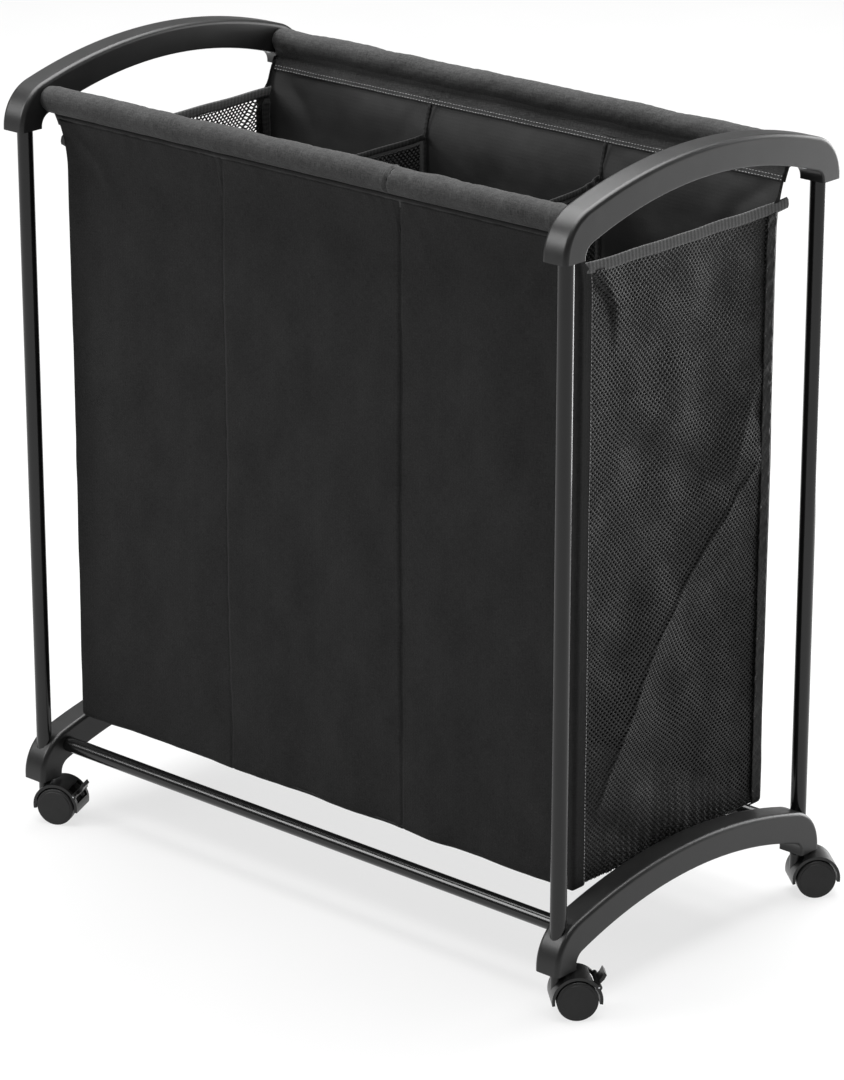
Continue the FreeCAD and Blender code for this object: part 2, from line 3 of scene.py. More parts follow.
import bpy
import numpy as np
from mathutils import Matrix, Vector


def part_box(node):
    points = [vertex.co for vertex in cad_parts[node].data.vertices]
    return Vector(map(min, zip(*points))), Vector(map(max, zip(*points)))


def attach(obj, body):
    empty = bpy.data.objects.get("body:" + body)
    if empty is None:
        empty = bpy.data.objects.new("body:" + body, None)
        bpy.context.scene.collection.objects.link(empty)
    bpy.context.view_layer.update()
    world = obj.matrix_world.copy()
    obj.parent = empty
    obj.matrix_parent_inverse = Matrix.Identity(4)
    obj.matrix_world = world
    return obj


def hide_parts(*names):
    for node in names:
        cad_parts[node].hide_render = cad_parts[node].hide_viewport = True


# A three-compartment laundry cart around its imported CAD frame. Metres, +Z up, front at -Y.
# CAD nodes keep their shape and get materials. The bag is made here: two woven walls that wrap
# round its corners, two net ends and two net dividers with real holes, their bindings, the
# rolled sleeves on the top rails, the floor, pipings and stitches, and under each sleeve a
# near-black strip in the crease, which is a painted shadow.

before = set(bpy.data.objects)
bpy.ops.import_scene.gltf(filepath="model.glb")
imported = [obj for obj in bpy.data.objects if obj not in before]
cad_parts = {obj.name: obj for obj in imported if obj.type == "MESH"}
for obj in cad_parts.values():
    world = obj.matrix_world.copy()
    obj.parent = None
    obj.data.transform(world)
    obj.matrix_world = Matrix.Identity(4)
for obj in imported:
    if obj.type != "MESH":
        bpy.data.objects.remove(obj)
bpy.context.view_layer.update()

# ---------------------------------------------------------------- places read from the frame

_, MESH_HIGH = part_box("bag_mesh_right")
BAND_LOW, BAND_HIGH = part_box("mesh_band_right")
DIVIDER_LOW, DIVIDER_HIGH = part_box("bag_divider_right")
DIVIDER_BAND_LOW, DIVIDER_BAND_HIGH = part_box("divider_band_right")
FLOOR_LOW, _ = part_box("bag_bottom")
SLEEVE_LOW, SLEEVE_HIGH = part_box("bag_sleeve_rear")
RAIL_LOW, RAIL_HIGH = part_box("top_rail_rear")

HALF_LENGTH = MESH_HIGH.x
HALF_DEPTH = MESH_HIGH.y
BAG_LOW = FLOOR_LOW.z
RAIL_Y = (RAIL_LOW.y + RAIL_HIGH.y) / 2
RAIL_Z = (RAIL_LOW.z + RAIL_HIGH.z) / 2
RAIL_RADIUS = (RAIL_HIGH.z - RAIL_LOW.z) / 2
SEAM_X = (DIVIDER_LOW.x + DIVIDER_HIGH.x) / 2
HEM_LOW = SLEEVE_LOW.z

# ---------------------------------------------------------------- sizes of the cloth

CLOTH = 0.0008
SLEEVE_CLOTH = CLOTH * 0.85
YARN = 0.0006

# a wall's rounded corners and foot, and how far it wraps round onto the net ends
CORNER_RADIUS = 0.004
CORNER_ARC = CORNER_RADIUS * math.pi / 2
CORNER_START = HALF_LENGTH - CORNER_RADIUS
WRAP_START = CORNER_START + CORNER_ARC
WRAP = 0.013
FOOT_RADIUS = 0.0055

# a wall's flare to the rail, from a height up to the crease under the sleeve
FLARE_FROM = 0.694
CREASE_Z = 0.7565
CREASE_IN = 0.0045
ROLL_RADIUS = RAIL_RADIUS + 0.0012

# relief of the walls and sleeves; a hem line is (distance below the crease, width, rise)
SEAM_GROOVE = 0.0013
SEAM_PUCKER = 0.0006
SEAM_SPREAD = 0.0012
SEAM_DRIFT = 0.8
HEM_LINES = [(0.0, 0.0009, -0.0022), (0.0035, 0.0016, 0.0016), (0.0070, 0.0010, -0.0020)]
BROAD_FOLDS = 0.0014
SMALL_FOLDS = 0.0003
PANEL_BULGE = 0.0022
SLIT_X = 0.1235
SLIT_SWING = 0.0045
SLIT_DEPTH = 0.0030
SLIT_LIP = 0.0013

# the nets: pitch of their holes, and the share of a pitch that a hole takes up
END_PITCH = 0.00575
DIVIDER_PITCH = 0.0059
HOLE_WIDE = 0.70
HOLE_TALL = 0.46
NET_THICK = 0.0005
NET_IN = 0.0014
NET_UNDER_WRAP = 0.003
NET_UNDER_BAND = 0.006
NET_SLACK = 0.0022
NET_DIP = 0.0035
GATHER_PITCH = 0.0125
GATHER_DEPTH = 0.0013
SELVAGE_INNER = 0.0015
SELVAGE_OUTER = 0.001

# bindings and the painted crease shadow: the net band's thickness, and the others' (width, thickness)
NET_BAND_THICK = 0.0026
DIVIDER_EDGE = (0.0062, 0.0024)
PIPING = (0.0046, 0.0026)
# size of the near-black strip that is a painted shadow in the crease under each sleeve
CREASE_SHADOW_SIZE = (0.0019, 0.0016)
CORNER_TAPE = (0.0115, 0.0016)

# stitches
STITCH_LENGTH = 0.0023
STITCH_RADIUS = 0.00042
STITCH_LIFT = 0.0005
CORNER_STITCH_STEP = 0.0036
HEM_STITCH_STEP = 0.0038
HEM_STITCH_ROWS = (0.0018, 0.0050)

# creases drawn: (distance from the middle, height) on a wall or on a net end
CORNER_DRAG = [(0.325, 0.742), (0.285, 0.712), (0.262, 0.672)]
SEAM_DRAG = [(0.128, 0.742), (0.142, 0.722), (0.150, 0.69)]
LONG_FOLD = [(0.150, 0.487), (0.112, 0.461), (0.067, 0.424), (0.028, 0.388),
             (-0.028, 0.326), (-0.080, 0.244), (-0.122, 0.165)]
SHORT_FOLD = [(0.135, 0.575), (0.112, 0.53), (0.092, 0.49), (0.080, 0.452)]
CURL = [(-0.131, 0.713), (-0.117, 0.704), (-0.107, 0.692), (-0.0985, 0.676),
        (-0.096, 0.655), (-0.095, 0.62)]

# seeds of the random fields
WALL_SEEDS = {"front": 11, "rear": 17}
SLEEVE_SEEDS = {"front": 21, "rear": 27}
NET_SWELL_SEED = 31
NET_SWAY_SEED = 41
NET_DRIFT_SEED = 42
BAND_SEED = 51
DIVIDER_SEED = 61
FLOOR_SEED = 71
CORNER_SEED = 81
FRAY_SEED = 91


# ---------------------------------------------------------------- soft shapes as number fields


def ripples(seed, shortest, longest, lean=(1.0, 1.0), waves=14):
    """A smooth random field from about -1 to 1, made of cosines between two wavelengths."""
    rng = np.random.default_rng(seed)
    heading = rng.uniform(0, 2 * np.pi, waves)
    length = shortest * (longest / shortest) ** rng.random(waves)
    phase = rng.uniform(0, 2 * np.pi, waves)
    weight = np.sqrt(length / longest)
    weight /= np.sqrt((weight**2).sum())

    def field(u, v):
        total = np.zeros(np.broadcast(u, v).shape)
        for angle, size, start, share in zip(heading, length, phase, weight):
            along = (u * np.cos(angle) * lean[0] + v * np.sin(angle) * lean[1]) / size
            total += share * np.cos(2 * np.pi * along + start)
        return total

    return field


def step(value, low, high):
    """0 below low, 1 above high, and smooth between them."""
    share = np.clip((value - low) / (high - low), 0, 1)
    return share * share * (3 - 2 * share)


def bump(value, centre, width):
    return np.exp(-(((value - centre) / width) ** 2))


def off_line(u, v, points):
    """Signed distance from a line through points, and the share of the way along it."""
    best = np.full(np.broadcast(u, v).shape, 1e9)
    signed, share = np.zeros_like(best), np.zeros_like(best)
    spans = list(zip(points, points[1:]))
    for number, ((u0, v0), (u1, v1)) in enumerate(spans):
        du, dv = u1 - u0, v1 - v0
        t = np.clip(((u - u0) * du + (v - v0) * dv) / (du * du + dv * dv), 0, 1)
        gap_u, gap_v = u - u0 - t * du, v - v0 - t * dv
        distance = np.hypot(gap_u, gap_v)
        nearer = distance < best
        side = np.sign(du * gap_v - dv * gap_u)
        best = np.where(nearer, distance, best)
        signed = np.where(nearer, distance * side, signed)
        share = np.where(nearer, (number + t) / len(spans), share)
    return signed, share


def fold(u, v, points, height, reach, fade):
    """A crease: two slopes that meet in a crisp edge along a line and fade out at its ends."""
    distance, share = off_line(u, v, points)
    ends = step(share, 0.0, fade) * (1 - step(share, 1 - fade, 1.0))
    slope = np.clip(1 - np.abs(distance) / reach, 0, 1) ** 1.5
    return height * slope * ends


# ---------------------------------------------------------------- meshes


def add_object(name, points, faces, flat=None, materials=(), smooth=True):
    """A mesh object from points and faces, with flat cloth coordinates in metres as its UVs."""
    mesh = bpy.data.meshes.new(name)
    mesh.from_pydata(np.asarray(points).tolist(), [], faces)
    mesh.update()
    if flat is not None:
        layer = mesh.uv_layers.new(name="flat")
        corner = np.empty(len(mesh.loops), np.int32)
        mesh.loops.foreach_get("vertex_index", corner)
        layer.data.foreach_set("uv", np.asarray(flat)[corner].astype(np.float32).ravel())
    mesh.polygons.foreach_set("use_smooth", np.full(len(mesh.polygons), smooth))
    thing = bpy.data.objects.new(name, mesh)
    bpy.context.scene.collection.objects.link(thing)
    for material in materials:
        mesh.materials.append(material)
    return thing


def sew(thing, slot, *nodes):
    """The piece rides on the frame and stands for some nodes, which it hides; slot is not used."""
    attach(thing, "frame")
    if nodes:
        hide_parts(*nodes)
    return thing


def thicken(thing, thickness, lining=False):
    """Gives a single sheet its thickness, with the second material on its inner side."""
    solid = thing.modifiers.new("thickness", "SOLIDIFY")
    solid.thickness = thickness
    solid.offset = 0.0
    solid.use_even_offset = False
    solid.material_offset = 1 if lining else 0
    return thing


def woven_sheet(name, across, up, place, materials):
    """A sheet of cloth on a grid of flat coordinates, each moved to its place in space."""
    u, v = np.meshgrid(across, up)
    points = np.stack(place(u, v), -1).reshape(-1, 3)
    wide, tall = len(across), len(up)
    column, row = np.meshgrid(np.arange(wide - 1), np.arange(tall - 1))
    here = row * wide + column
    faces = np.stack([here, here + 1, here + wide + 1, here + wide], -1).reshape(-1, 4)
    flat = np.stack([u, v], -1).reshape(-1, 2)
    return add_object(name, points, faces.tolist(), flat, materials)


def net_sheet(name, width, height, pitch, place, material):
    """A net with diamond holes in staggered rows: every hole, thread and crossing is real."""
    step_u, step_v = pitch, pitch / 2
    columns, rows = int(width / step_u) - 1, int(height / step_v) - 1
    index = -np.ones((rows + 2, columns + 2), int)
    centres = []
    for j in range(rows):
        for i in range(columns + (j % 2 == 0)):
            index[j, i] = len(centres)
            centres.append((i, j))
    centres = np.array(centres, float)
    odd = centres[:, 1] % 2
    cu = (centres[:, 0] - columns / 2 + odd / 2) * step_u
    cv = (centres[:, 1] - (rows - 1) / 2) * step_v
    corner = np.array([(HOLE_WIDE, 0), (0, HOLE_TALL), (-HOLE_WIDE, 0), (0, -HOLE_TALL)]) * pitch / 2
    u = (cu[:, None] + corner[:, 0]).ravel()
    v = (cv[:, None] + corner[:, 1]).ravel()
    faces = []
    east, north, west, south = range(4)
    for j in range(rows):
        shift = j % 2
        for i in range(columns + 1):
            here, beside = index[j, i], index[j, i + 1]
            if here < 0:
                continue
            above_right, above_left = index[j + 1, i + shift], index[j + 1, i + shift - 1]
            below_right = index[j - 1, i + shift] if j else -1
            if above_right >= 0:
                faces.append([4 * here + east, 4 * above_right + south,
                              4 * above_right + west, 4 * here + north])
            if above_left >= 0 and i + shift >= 1:
                faces.append([4 * here + north, 4 * above_left + east,
                              4 * above_left + south, 4 * here + west])
            if beside >= 0 and above_right >= 0 and below_right >= 0:
                faces.append([4 * here + east, 4 * below_right + north,
                              4 * beside + west, 4 * above_right + south])
    points = np.stack(place(u, v), -1)
    flat = np.stack([u + columns * step_u / 2, v + (rows - 1) * step_v / 2], -1)
    net = add_object(name, points, faces, flat, [material])
    return thicken(net, NET_THICK)


def stitches(name, spots, direction, outward, material):
    """A row of sewn stitches: one short rounded thread at each spot."""
    profile = [(-0.5, 0.35), (-0.3, 1.0), (0.3, 1.0), (0.5, 0.35)]
    sides = 5
    along = Vector(direction).normalized()
    up = Vector(outward).normalized()
    over = along.cross(up)
    points, faces = [], []
    for spot in spots:
        base = len(points)
        for share, size in profile:
            for k in range(sides):
                turn = 2 * math.pi * k / sides
                rim = up * math.cos(turn) + over * math.sin(turn)
                reach = along * (share * STITCH_LENGTH) + rim * (STITCH_RADIUS * size)
                points.append(Vector(spot) + reach)
        for ring in range(len(profile) - 1):
            for k in range(sides):
                a, b = base + ring * sides + k, base + ring * sides + (k + 1) % sides
                faces.append([a, b, b + sides, a + sides])
        faces.append([base + k for k in reversed(range(sides))])
        faces.append([base + (len(profile) - 1) * sides + k for k in range(sides)])
    return add_object(name, points, faces, materials=[material])


# ---------------------------------------------------------------- material helpers


class Recipe:
    """A material's node tree, with one Principled shader and short ways to add nodes."""

    def __init__(self, name, **sockets):
        self.material = bpy.data.materials.new(name)
        self.material.use_nodes = True
        self.tree = self.material.node_tree
        self.shader = self.tree.nodes["Principled BSDF"]
        for socket, value in sockets.items():
            self.shader.inputs[socket.replace("_", " ")].default_value = value

    def add(self, kind, settings=None, **inputs):
        """A node with its settings, and inputs that are values or other nodes' outputs."""
        node = self.tree.nodes.new(kind)
        for key, value in (settings or {}).items():
            setattr(node, key, value)
        for key, value in inputs.items():
            name = key.replace("_", " ")
            socket = node.inputs[int(name[1:])] if name[1:].isdigit() else node.inputs[name]
            if isinstance(value, bpy.types.NodeSocket):
                self.tree.links.new(value, socket)
            else:
                socket.default_value = value
        return node

    def place(self, scale=1.0, flat=False):
        """Surface coordinates in metres times a scale: flat cloth's own, or the object's."""
        source = self.add("ShaderNodeTexCoord").outputs["UV" if flat else "Object"]
        mapping = self.add("ShaderNodeMapping", Vector=source)
        sizes = scale if isinstance(scale, tuple) else (scale,) * 3
        mapping.inputs["Scale"].default_value = sizes
        return mapping.outputs["Vector"]

    def noise(self, where, scale, detail=3.0, roughness=0.55):
        node = self.add("ShaderNodeTexNoise", Vector=where, Scale=scale, Detail=detail,
                        Roughness=roughness)
        return node.outputs["Fac"]

    def wave(self, where, scale, direction="X", distortion=0.0):
        node = self.add("ShaderNodeTexWave", {"bands_direction": direction}, Vector=where,
                        Scale=scale, Distortion=distortion)
        return node.outputs["Fac"]

    def between(self, factor, low, high):
        """Maps 0..1 to low..high."""
        node = self.add("ShaderNodeMapRange", Value=factor, To_Min=low, To_Max=high)
        return node.outputs["Result"]

    def math(self, operation, a, b):
        node = self.add("ShaderNodeMath", {"operation": operation}, i0=a, i1=b)
        return node.outputs[0]

    def colours(self, factor, *stops):
        ramp = self.add("ShaderNodeValToRGB", Fac=factor)
        elements = ramp.color_ramp.elements
        while len(elements) < len(stops):
            elements.new(0.5)
        for element, (position, grey) in zip(elements, stops):
            element.position = position
            element.color = (*(grey if isinstance(grey, tuple) else (grey,) * 3), 1)
        return ramp.outputs["Color"]

    def drive(self, socket, output):
        self.tree.links.new(output, self.shader.inputs[socket])

    def relief(self, *layers):
        """Bumps on top of each other, each a height output, a strength and a depth in metres."""
        normal = None
        for height, strength, depth in layers:
            node = self.add("ShaderNodeBump", Height=height, Strength=strength, Distance=depth)
            if normal:
                self.tree.links.new(normal, node.inputs["Normal"])
            normal = node.outputs["Normal"]
        self.drive("Normal", normal)


def moulded_plastic(name, dark, light, rough, grain):
    """Satin moulded plastic: a fine spark-eroded grain, cloudy sheen and slight tone changes."""
    r = Recipe(name, Specular_IOR_Level=0.38)
    where = r.place()
    cloud = r.noise(where, 9.0, 4.0)
    fine = r.noise(where, 2600.0, 2.0)
    # random blotches of lighter and darker tone and of roughness
    blotch = r.noise(where, 60.0, 5.0, 0.7)
    tone = r.math("ADD", r.math("MULTIPLY", cloud, 0.6), r.math("MULTIPLY", blotch, 0.4))
    r.drive("Base Color", r.colours(tone, (0.3, dark), (0.75, light)))
    r.drive("Roughness", r.between(blotch, rough - 0.06, rough + 0.08))
    r.relief((r.noise(where, 35.0, 2.0), 0.25, 0.0004), (fine, 0.35, grain))
    return r.material


def painted_tube(name):
    """Satin black powder coat with a fine orange peel."""
    r = Recipe(name, Specular_IOR_Level=0.4)
    where = r.place()
    peel = r.noise(where, 900.0, 2.0)
    cloud = r.noise(where, 14.0, 4.0)
    r.drive("Base Color", r.colours(cloud, (0.3, 0.003), (0.8, 0.006)))
    r.drive("Roughness", r.between(cloud, 0.15, 0.2))
    r.relief((peel, 0.06, 0.00015))
    return r.material


def bright_steel(name):
    """Zinc-plated steel, finely turned, with a faint cloud in its plating."""
    r = Recipe(name, Metallic=1.0)
    where = r.place()
    cloud = r.noise(where, 220.0, 4.0)
    turned = r.noise(r.place((300.0, 300.0, 9000.0)), 1.0, 2.0)
    r.drive("Base Color", r.colours(cloud, (0.3, (0.52, 0.53, 0.55)), (0.75, (0.72, 0.73, 0.74))))
    r.drive("Roughness", r.between(cloud, 0.22, 0.38))
    r.relief((turned, 0.2, 0.00005))
    return r.material


def weave_height(r, where):
    """Over-and-under yarns of a plain weave, as a height between 0 and 1."""
    count = 1.0 / YARN
    warp = r.wave(where, count * 0.05, "X", 0.0)
    weft = r.wave(where, count * 0.05, "Y", 0.0)
    checker = r.add("ShaderNodeTexChecker", Vector=where, Scale=count,
                    Color1=(1, 1, 1, 1), Color2=(0, 0, 0, 1)).outputs["Fac"]
    mix = r.add("ShaderNodeMix", {"data_type": "FLOAT"}, Factor=checker, A=warp, B=weft)
    return mix.outputs[0]


def woven_polyester(name, dark, light, sheen):
    """Heathered dark woven cloth: plain weave, slubs along both yarns, mottled tone, soft sheen."""
    r = Recipe(name, Specular_IOR_Level=0.12, Sheen_Weight=sheen, Sheen_Roughness=0.45)
    where = r.place(1.0, flat=True)
    slub_up = r.noise(r.place((1500.0, 130.0, 1.0), flat=True), 1.0, 3.0)
    slub_over = r.noise(r.place((130.0, 1500.0, 1.0), flat=True), 1.0, 3.0)
    mottle = r.noise(where, 520.0, 3.0, 0.6)
    cloud = r.noise(where, 16.0, 3.0)
    weave = weave_height(r, where)
    tone = r.math("ADD", r.math("MULTIPLY", slub_up, 0.3), r.math("MULTIPLY", slub_over, 0.3))
    tone = r.math("ADD", tone, r.math("MULTIPLY", mottle, 0.25))
    tone = r.math("ADD", tone, r.math("MULTIPLY", cloud, 0.15))
    r.drive("Base Color", r.colours(tone, (0.38, dark), (0.62, light)))
    r.drive("Roughness", r.between(mottle, 0.72, 0.9))
    r.relief((cloud, 0.15, 0.001), (mottle, 0.18, 0.00015), (weave, 0.5, 0.00018))
    return r.material


def coated_lining(name):
    """The polyurethane-coated inner side of the cloth: slightly shiny, with soft creasing."""
    r = Recipe(name, Specular_IOR_Level=0.22)
    where = r.place(1.0, flat=True)
    crumple = r.noise(r.place((9.0, 13.0, 1.0), flat=True), 1.0, 3.0, 0.5)
    fine = r.noise(where, 420.0, 3.0)
    r.drive("Base Color", r.colours(crumple, (0.35, 0.011), (0.7, 0.024)))
    r.drive("Roughness", r.between(crumple, 0.5, 0.66))
    weave = weave_height(r, where)
    r.relief((crumple, 0.4, 0.006), (fine, 0.25, 0.0002), (weave, 0.3, 0.00012))
    return r.material


def knitted_net(name, pitch):
    """Polyester net thread: dark, finely twisted yarn, painted lighter at the net's crossings as painted
    glints.
    """
    r = Recipe(name, Specular_IOR_Level=0.20)
    where = r.place(1.0, flat=True)
    fibre = r.noise(where, 2200.0, 2.0)
    cloud = r.noise(where, 22.0, 3.0)
    axes = r.add("ShaderNodeSeparateXYZ", Vector=where).outputs
    turn = 2 * math.pi / pitch
    over = r.math("COSINE", r.math("MULTIPLY", axes["X"], turn), 0.0)
    up = r.math("COSINE", r.math("MULTIPLY", axes["Y"], turn), 0.0)
    # painted highlight: the tone is lighter at each crossing of the threads
    crossing = r.between(r.math("MULTIPLY", over, up), 0.55, -0.55)
    tone = r.math("ADD", r.math("MULTIPLY", fibre, 0.55), r.math("MULTIPLY", cloud, 0.3))
    tone = r.math("ADD", tone, r.math("MULTIPLY", crossing, 0.45))
    r.drive("Base Color", r.colours(tone, (0.42, 0.0010), (0.70, 0.004), (0.92, 0.17)))
    r.drive("Roughness", r.between(fibre, 0.38, 0.6))
    r.relief((r.noise(where, 900.0, 2.0), 0.5, 0.0003), (fibre, 0.4, 0.0002))
    return r.material


def ribbed_binding(name, dark, light, fuzzy=0.08):
    """Knitted binding tape: fine ribs across its length and a fuzzy, uneven tone."""
    r = Recipe(name, Specular_IOR_Level=0.15, Sheen_Weight=fuzzy, Sheen_Roughness=0.5)
    where = r.place(1.0, flat=True)
    ribs = r.wave(where, 62.0, "X", 1.2)
    courses = r.wave(where, 90.0, "Y", 1.0)
    fuzz = r.noise(where, 1300.0, 3.0)
    tone = r.math("ADD", r.math("MULTIPLY", fuzz, 0.85), r.math("MULTIPLY", ribs, 0.15))
    r.drive("Base Color", r.colours(tone, (0.3, dark), (0.75, light)))
    r.drive("Roughness", r.between(fuzz, 0.7, 0.92))
    r.relief((ribs, 0.5, 0.0004), (courses, 0.35, 0.0002), (fuzz, 0.4, 0.0002))
    return r.material


def sewing_thread(name):
    """Pale grey spun thread."""
    r = Recipe(name, Roughness=0.55, Specular_IOR_Level=0.4)
    where = r.place()
    fibre = r.noise(where, 3000.0, 2.0)
    r.drive("Base Color", r.colours(fibre, (0.35, 0.2), (0.7, 0.5)))
    r.relief((fibre, 0.4, 0.0002))
    return r.material


def wheel_plastic(name):
    """Matt black wheel nylon, with a trace of dust and scuffs."""
    r = Recipe(name, Specular_IOR_Level=0.32)
    where = r.place()
    scuff = r.noise(where, 160.0, 6.0, 0.7)
    cloud = r.noise(where, 30.0, 3.0)
    r.drive("Base Color", r.colours(r.math("MULTIPLY", scuff, cloud), (0.12, 0.007), (0.45, 0.015)))
    r.drive("Roughness", r.between(scuff, 0.42, 0.6))
    r.relief((scuff, 0.2, 0.0001), (r.noise(where, 2400.0, 2.0), 0.3, 0.00008))
    return r.material


# ---------------------------------------------------------------- the bag's walls


def flare(z):
    """How far a wall stands out from the bag towards the rail it hangs from, at a height."""
    share = np.clip((z - FLARE_FROM) / (CREASE_Z - FLARE_FROM), 0, 1)
    return (RAIL_Y + CLOTH - CREASE_IN - HALF_DEPTH) * share**2.0


def wall_relief(s, z, seed):
    """Hanging cloth: broad upright folds, a pulled-in seam at each divider, corner drag lines."""
    share = (z - BAG_LOW) / (CREASE_Z - BAG_LOW)
    soft = ripples(seed, 0.05, 0.2, lean=(1.0, 0.35))(s, z)
    small = ripples(seed + 1, 0.018, 0.05, lean=(1.0, 0.6))(s, z)
    held = np.clip(4 * (1 - share), 0, 1)
    height = BROAD_FOLDS * soft * held + SMALL_FOLDS * small * (0.4 + held)
    for seam in (-SEAM_X, SEAM_X):
        height -= SEAM_GROOVE * bump(s, seam + SEAM_DRIFT * flare(z), SEAM_SPREAD)
        height -= SEAM_PUCKER * bump(s, seam, 0.012) * np.cos(np.pi * z / 0.031 + seam) ** 2
    for below, width, rise in HEM_LINES:
        height += rise * bump(z, CREASE_Z - below, width)
    panel = (np.abs(s) - SEAM_X * (np.abs(s) > SEAM_X)) / SEAM_X
    bulge = np.sin(np.pi * np.clip(panel / 1.87, 0, 1)) * step(share, 0.0, 0.3)
    height += PANEL_BULGE * bulge * held
    for hand in (-1, 1):
        height += fold(s * hand, z, CORNER_DRAG, 0.0022, 0.016, 0.25)
        height += fold(s * hand, z, SEAM_DRAG, 0.0009, 0.012, 0.25)
    height += 0.00035 * np.sin(2 * np.pi * s / 0.027 + 5 * soft) * bump(z, CREASE_Z - 0.012, 0.012)
    return height


def wall_place(end, seed):
    """Where a point of a wall lies: s runs along the wall and round its corners, z is height."""

    def place(s, z):
        hand, run = np.sign(s), np.abs(s)
        turn = np.clip((run - CORNER_START) / CORNER_RADIUS, 0, math.pi / 2)
        narrow = 1 - 0.8 * step(z, MESH_HIGH.z - 0.002, BAND_HIGH.z + 0.008)
        wrapped = np.clip(run - WRAP_START, 0, None) * narrow
        relief = wall_relief(s, z, seed) * (1 - 0.75 * step(run, CORNER_START - 0.01, WRAP_START))
        above = np.clip(z - BAG_LOW, 0, FOOT_RADIUS)
        tuck = FOOT_RADIUS - np.sqrt(FOOT_RADIUS**2 - (FOOT_RADIUS - above) ** 2)
        out = CORNER_RADIUS + relief - tuck
        x = np.minimum(run, CORNER_START) + out * np.sin(turn)
        y = HALF_DEPTH - CORNER_RADIUS + out * np.cos(turn) - wrapped + flare(z)
        return hand * x, end * y, z

    return place


def wall_columns():
    """Stations along a wall: closer at its seams and corners."""
    open_run = np.linspace(0, CORNER_START - 0.001, 78)
    near_seam = SEAM_X + np.arange(-0.0084, 0.0085, 0.0012)
    open_run = open_run[np.abs(open_run - SEAM_X) > 0.0095]
    corner = CORNER_START + np.linspace(0, CORNER_ARC, 7)
    wrapped = WRAP_START + np.linspace(0, WRAP, 7)[1:]
    half = np.unique(np.concatenate([open_run, near_seam, corner, wrapped]))
    return np.concatenate([-half[:0:-1], half])


def wall_rows():
    """Stations up a wall: closer at its rounded foot, in its flare and at its hem."""
    low = BAG_LOW + FOOT_RADIUS * np.array([0.0, 0.04, 0.15, 0.35, 0.65, 1.0, 1.6])
    middle = np.linspace(BAG_LOW + 0.013, FLARE_FROM, 118)
    high = np.linspace(FLARE_FROM + 0.004, CREASE_Z - 0.0105, 13)
    hem = CREASE_Z - np.append(np.arange(0.0092, 0.0005, -0.0007), 0.0)
    return np.concatenate([low, middle, high, hem])


def make_wall(row, end, seed, outer, lining):
    """A woven wall from the bag's foot to its sleeve, wrapped round both of its corners."""
    columns = wall_columns() * (1 if end < 0 else -1)
    place = wall_place(end, seed)
    wall = woven_sheet(f"bag_wall_{row}", columns, wall_rows(), place, [outer, lining])
    thicken(wall, CLOTH, lining=True)
    sew(wall, "panel_fabric", f"bag_panel_{row}")


# ---------------------------------------------------------------- sleeves on the top rails


def sleeve_place(end, seed):
    """Where a point of a sleeve lies: u runs along the rail, v from the hem inside, over the
    roll and down to the hem outside."""
    drop = RAIL_Z - CREASE_Z
    leave = math.acos(ROLL_RADIUS / drop)
    straight = math.sqrt(drop**2 - ROLL_RADIUS**2)
    flap = CREASE_Z - HEM_LOW
    arc = (2 * math.pi - 2 * leave) * ROLL_RADIUS
    whole = 2 * (flap + straight) + arc
    soft = ripples(seed, 0.03, 0.12)
    small = ripples(seed + 1, 0.008, 0.02)

    def place(u, v):
        turned = np.clip((v - flap - straight) / ROLL_RADIUS, 0, arc / ROLL_RADIUS)
        angle = -math.pi / 2 - leave - turned
        across, height = ROLL_RADIUS * np.cos(angle), ROLL_RADIUS * np.sin(angle)
        rising = np.clip((v - flap) / straight, 0, 1)
        falling = np.clip((whole - flap - v) / straight, 0, 1)
        on_roll = np.minimum(rising, falling)
        leaf = np.where(v < whole / 2, -CLOTH * 1.5, -CLOTH * 0.5) - CREASE_IN
        full = on_roll**0.35
        across = across * full + leaf * (1 - full)
        height = height * on_roll - drop * (1 - on_roll)
        height = height - np.clip(flap - np.minimum(v, whole - v), 0, None)
        across = across + flare(RAIL_Z + height) - flare(CREASE_Z)
        puff = 0.0006 * soft(u, v) + 0.00018 * small(u, v)
        slit = SLIT_X + SLIT_SWING * np.cos(math.pi * (v - whole * 0.5) / (whole * 0.42))
        in_front = step(v, whole * 0.42, whole * 0.5) * (end < 0)
        puff -= SLIT_DEPTH * bump(u, slit, 0.0009) * in_front
        puff += SLIT_LIP * bump(u, slit - 0.0028, 0.0016) * in_front
        puff -= 0.0012 * bump(u, -SEAM_X, 0.003) * bump(v, whole - flap - 0.002, 0.006)
        puff += 0.0008 * bump(np.abs(u), SLEEVE_HIGH.x - 0.012, 0.004)
        puff -= 0.0006 * bump(np.abs(u), SLEEVE_HIGH.x, 0.005)
        puff = puff * (0.25 + 0.75 * on_roll)
        across = across + puff * np.cos(angle) * on_roll
        height = height + puff * np.sin(angle)
        return u, end * (RAIL_Y + across), RAIL_Z + height

    return place, whole


def make_sleeve(row, end, seed, outer, lining):
    """The rolled sleeve in which a top rail runs, sewn off in a hem below the rail."""
    place, whole = sleeve_place(end, seed)
    columns = np.linspace(SLEEVE_LOW.x, SLEEVE_HIGH.x, 301)
    near_slit = np.arange(0.112, 0.136, 0.0006)
    columns = np.union1d(columns, near_slit) * (1 if end > 0 else -1)
    rows = np.linspace(0, whole, 57)
    sleeve = woven_sheet(f"sleeve_{row}", columns, rows, place, [outer, lining])
    thicken(sleeve, SLEEVE_CLOTH, lining=True)
    sew(sleeve, "panel_fabric", f"bag_sleeve_{row}")


# ---------------------------------------------------------------- net ends and their bindings


